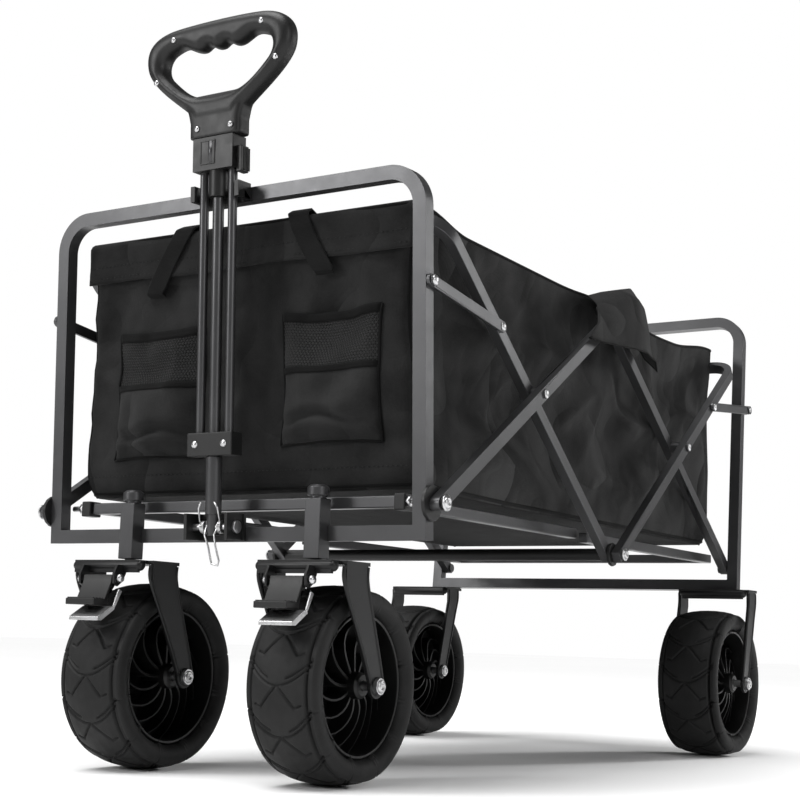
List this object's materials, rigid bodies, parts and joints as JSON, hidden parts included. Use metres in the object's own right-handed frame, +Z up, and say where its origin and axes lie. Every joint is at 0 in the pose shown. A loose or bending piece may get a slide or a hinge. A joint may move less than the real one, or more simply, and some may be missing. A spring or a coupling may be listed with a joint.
{
  "type": "folding camp wagon",
  "caption": "Folding cloth-sided camp wagon with crossed side arms, telescoping pull handle, swivelling braked front casters and wide treaded wheels.",
  "frame": {"origin": "on the ground, at the middle of the bounding box", "axes": "+Z up, +Y towards the rear, -Y towards the pull handle, +X to the right of someone facing the front"},
  "size_m": [0.6316, 1.0758, 0.8468],
  "materials": {
    "frame_steel": "satin dark graphite powder coat",
    "fork_steel": "satin black powder coat",
    "zinc_steel": "bright zinc plate",
    "black_plastic": "fine matte grain",
    "rim_plastic": "glossy moulded",
    "tyre_rubber": "matte moulded rubber",
    "bag_cloth": "woven coated polyester"
  },
  "bodies": {
    "front_frame": {"front_frame": "frame_steel", "caster_post_left": "frame_steel", "caster_post_right": "frame_steel", "handle_bracket": "black_plastic", "handle_pivot_pin": "zinc_steel", "handle_rest_clip": "black_plastic", "front_pivot_hub_left": "black_plastic", "front_pivot_hub_right": "black_plastic", "bag_front": "bag_cloth", "bag_rear": "bag_cloth", "bag_left": "bag_cloth", "bag_right": "bag_cloth", "bag_floor": "bag_cloth", "pocket_left": "bag_cloth", "pocket_right": "bag_cloth", "handle_spring": "zinc_steel"},
    "front_arms": {"front_arm_left": "frame_steel", "front_arm_right": "frame_steel", "mid_top_hub_left": "black_plastic", "mid_top_hub_right": "black_plastic"},
    "front_u": {"front_u_frame": "frame_steel", "mid_cross_tube": "frame_steel"},
    "rear_arms": {"rear_arm_left": "frame_steel", "rear_arm_right": "frame_steel"},
    "rear_u": {"rear_u_frame": "frame_steel"},
    "rear_end": {"rear_frame": "frame_steel", "rear_fork_left": "fork_steel", "rear_fork_right": "fork_steel", "rear_axle_left": "zinc_steel", "rear_axle_right": "zinc_steel"},
    "front_links": {"front_link_left": "frame_steel", "front_link_right": "frame_steel"},
    "rear_links": {"rear_link_left": "frame_steel", "rear_link_right": "frame_steel"},
    "floor_front": {"floor_frame_front": "frame_steel"},
    "floor_rear": {"floor_frame_rear": "frame_steel"},
    "handle_lower": {"handle_centre_tube": "frame_steel", "handle_collar": "black_plastic"},
    "handle_button": {"handle_lever": "black_plastic"},
    "handle_upper": {"handle_grip": "black_plastic", "handle_clamp": "black_plastic", "handle_side_tube_left": "frame_steel", "handle_side_tube_right": "frame_steel"},
    "caster_left": {"caster_fork_left": "fork_steel", "caster_axle_left": "zinc_steel"},
    "brake_left": {"brake_pedal_left": "black_plastic"},
    "release_left": {"brake_release_left": "zinc_steel"},
    "front_wheel_left": {"tyre_front_left": "tyre_rubber", "rim_front_left": "rim_plastic"},
    "rear_wheel_left": {"tyre_rear_left": "tyre_rubber", "rim_rear_left": "rim_plastic"},
    "caster_right": {"caster_fork_right": "fork_steel", "caster_axle_right": "zinc_steel"},
    "brake_right": {"brake_pedal_right": "black_plastic"},
    "release_right": {"brake_release_right": "zinc_steel"},
    "front_wheel_right": {"tyre_front_right": "tyre_rubber", "rim_front_right": "rim_plastic"},
    "rear_wheel_right": {"tyre_rear_right": "tyre_rubber", "rim_rear_right": "rim_plastic"}
  },
  "joints": [
    {"name": "fold", "type": "hinge", "parent": "front_frame", "child": "front_arms", "pos_m": [0, -0.44488, 0.2935], "axis": [1, 0, 0], "range_deg": [0, 50.49], "deforming": ["bag_front", "bag_rear", "bag_left", "bag_right", "bag_floor", "pocket_left", "pocket_right"]},
    {"name": "front_u_turn", "type": "hinge", "parent": "front_arms", "child": "front_u", "pos_m": [0, -0.21188, 0.442], "axis": [1, 0, 0], "range_deg": [-96.74, 0]},
    {"name": "rear_arm_turn", "type": "hinge", "parent": "front_arms", "child": "rear_arms", "pos_m": [0, 0.02252, 0.5914], "axis": [1, 0, 0], "range_deg": [-99.69, 0]},
    {"name": "rear_u_turn", "type": "hinge", "parent": "rear_arms", "child": "rear_u", "pos_m": [0, 0.2535, 0.43676], "axis": [1, 0, 0], "range_deg": [0, 96.74]},
    {"name": "rear_frame_turn", "type": "hinge", "parent": "rear_arms", "child": "rear_end", "pos_m": [0, 0.49212, 0.277], "axis": [1, 0, 0], "range_deg": [0, 49.2]},
    {"name": "front_link_turn", "type": "hinge", "parent": "front_frame", "child": "front_links", "pos_m": [0, -0.45718, 0.525], "axis": [1, 0, 0], "range_deg": [0, 84.26]},
    {"name": "rear_link_turn", "type": "hinge", "parent": "rear_end", "child": "rear_links", "pos_m": [0, 0.51512, 0.528], "axis": [1, 0, 0], "range_deg": [-81.51, 0]},
    {"name": "floor_front_turn", "type": "hinge", "parent": "front_frame", "child": "floor_front", "pos_m": [0, -0.42688, 0.2975], "axis": [1, 0, 0], "range_deg": [0, 83]},
    {"name": "floor_rear_turn", "type": "hinge", "parent": "rear_end", "child": "floor_rear", "pos_m": [0, 0.48512, 0.292], "axis": [1, 0, 0], "range_deg": [-83, 0]},
    {"name": "handle_tilt", "type": "hinge", "parent": "front_frame", "child": "handle_lower", "pos_m": [0, -0.46969, 0.27004], "axis": [1, 0, 0], "range_deg": [0, 100], "deforming": ["handle_spring"]},
    {"name": "handle_slide", "type": "slide", "parent": "handle_lower", "child": "handle_upper", "axis": [0, -0.0523, 0.9986], "range_m": [0, 0.26]},
    {"name": "handle_lever_press", "type": "slide", "parent": "handle_lower", "child": "handle_button", "axis": [0, -0.0523, 0.9986], "range_m": [-0.004, 0], "stiffness_N_per_m": 500},
    {"name": "caster_swivel_left", "type": "hinge", "parent": "front_frame", "child": "caster_left", "pos_m": [-0.129, -0.45588, 0.233], "axis": [0, 0, 1], "range_deg": [-180, 180]},
    {"name": "front_spin_left", "type": "hinge", "parent": "caster_left", "child": "front_wheel_left", "pos_m": [-0.129, -0.41388, 0.105], "axis": [1, 0, 0], "continuous": true},
    {"name": "brake_press_left", "type": "hinge", "parent": "caster_left", "child": "brake_left", "pos_m": [-0.129, -0.50288, 0.212], "axis": [1, 0, 0], "range_deg": [0, 12]},
    {"name": "release_press_left", "type": "hinge", "parent": "caster_left", "child": "release_left", "pos_m": [-0.129, -0.50288, 0.212], "axis": [1, 0, 0], "range_deg": [0, 12]},
    {"name": "rear_spin_left", "type": "hinge", "parent": "rear_end", "child": "rear_wheel_left", "pos_m": [-0.2555, 0.40012, 0.105], "axis": [1, 0, 0], "continuous": true},
    {"name": "caster_swivel_right", "type": "hinge", "parent": "front_frame", "child": "caster_right", "pos_m": [0.129, -0.45588, 0.233], "axis": [0, 0, 1], "range_deg": [-180, 180]},
    {"name": "front_spin_right", "type": "hinge", "parent": "caster_right", "child": "front_wheel_right", "pos_m": [0.129, -0.41388, 0.105], "axis": [1, 0, 0], "continuous": true},
    {"name": "brake_press_right", "type": "hinge", "parent": "caster_right", "child": "brake_right", "pos_m": [0.129, -0.50288, 0.212], "axis": [1, 0, 0], "range_deg": [0, 12]},
    {"name": "release_press_right", "type": "hinge", "parent": "caster_right", "child": "release_right", "pos_m": [0.129, -0.50288, 0.212], "axis": [1, 0, 0], "range_deg": [0, 12]},
    {"name": "rear_spin_right", "type": "hinge", "parent": "rear_end", "child": "rear_wheel_right", "pos_m": [0.2555, 0.40012, 0.105], "axis": [1, 0, 0], "continuous": true}
  ],
  "couplings": [
    {"joint": "front_u_turn", "follows": "fold", "ratio": -1.9162},
    {"joint": "rear_arm_turn", "follows": "fold", "ratio": -1.9744},
    {"joint": "rear_u_turn", "follows": "fold", "ratio": 1.9161},
    {"joint": "rear_frame_turn", "follows": "fold", "ratio": 0.97443},
    {"joint": "front_link_turn", "follows": "fold", "ratio": 1.6689},
    {"joint": "rear_link_turn", "follows": "fold", "ratio": -1.6144},
    {"joint": "floor_front_turn", "follows": "fold", "ratio": 1.6439},
    {"joint": "floor_rear_turn", "follows": "fold", "ratio": -1.6439},
    {"joint": "release_press_left", "follows": "brake_press_left", "ratio": 1},
    {"joint": "release_press_right", "follows": "brake_press_right", "ratio": 1}
  ]
}
